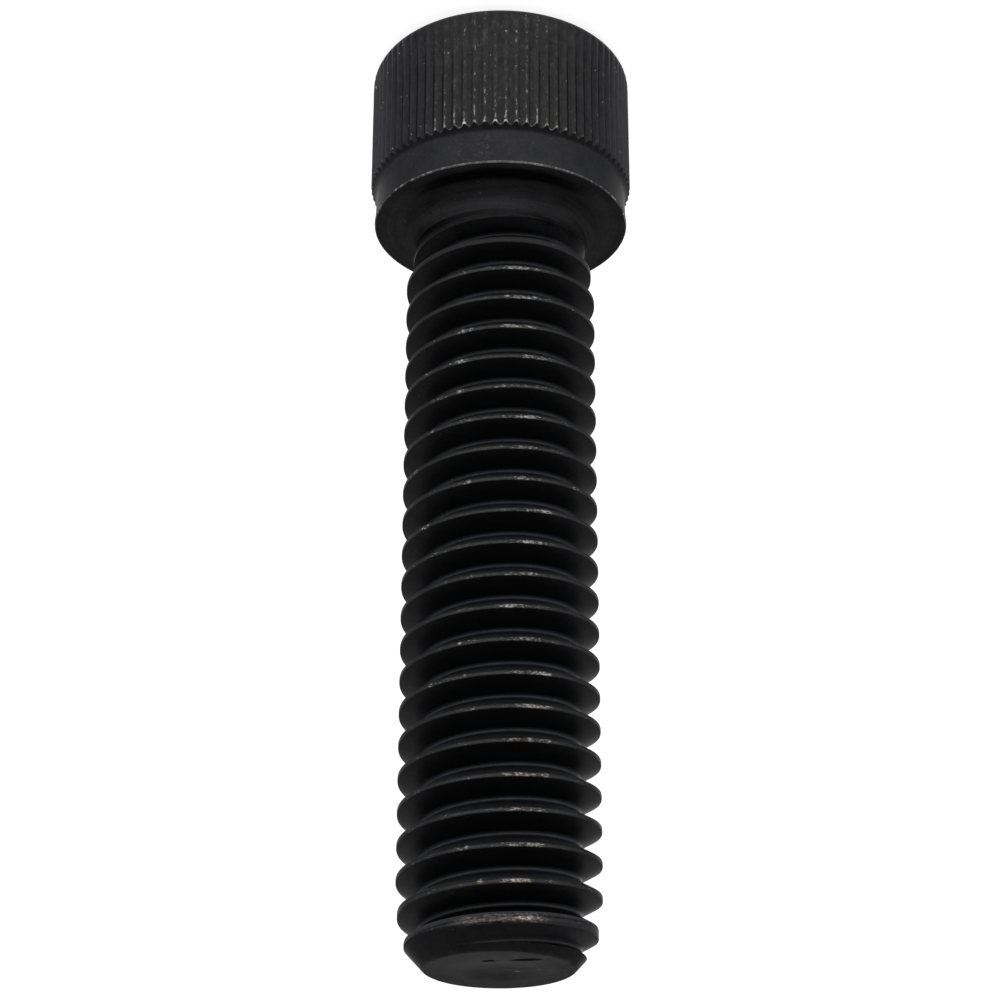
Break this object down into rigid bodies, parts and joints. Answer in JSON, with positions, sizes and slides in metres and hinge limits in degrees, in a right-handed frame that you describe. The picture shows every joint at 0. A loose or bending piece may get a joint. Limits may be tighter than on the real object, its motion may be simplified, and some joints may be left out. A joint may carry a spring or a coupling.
{
  "type": "hex socket cap screw",
  "caption": "Black hex socket head cap screw: knurled round head with a hexagonal socket, filleted neck and a fully threaded shank with a chamfered point.",
  "frame": {"origin": "centre of the head's flat top face, round the socket's mouth; the screw stands on this face", "axes": "+Z along the screw's axis, from the head towards the point; -Y is the side that faces the picture's camera"},
  "size_m": [0.013, 0.013, 0.0469],
  "materials": {
    "black_steel": "black oxide, dull gloss, worn bright on thread crests, knurl ends and the edge of the underside"
  },
  "bodies": {
    "root": {"cap_screw": "black_steel"}
  },
  "joints": []
}
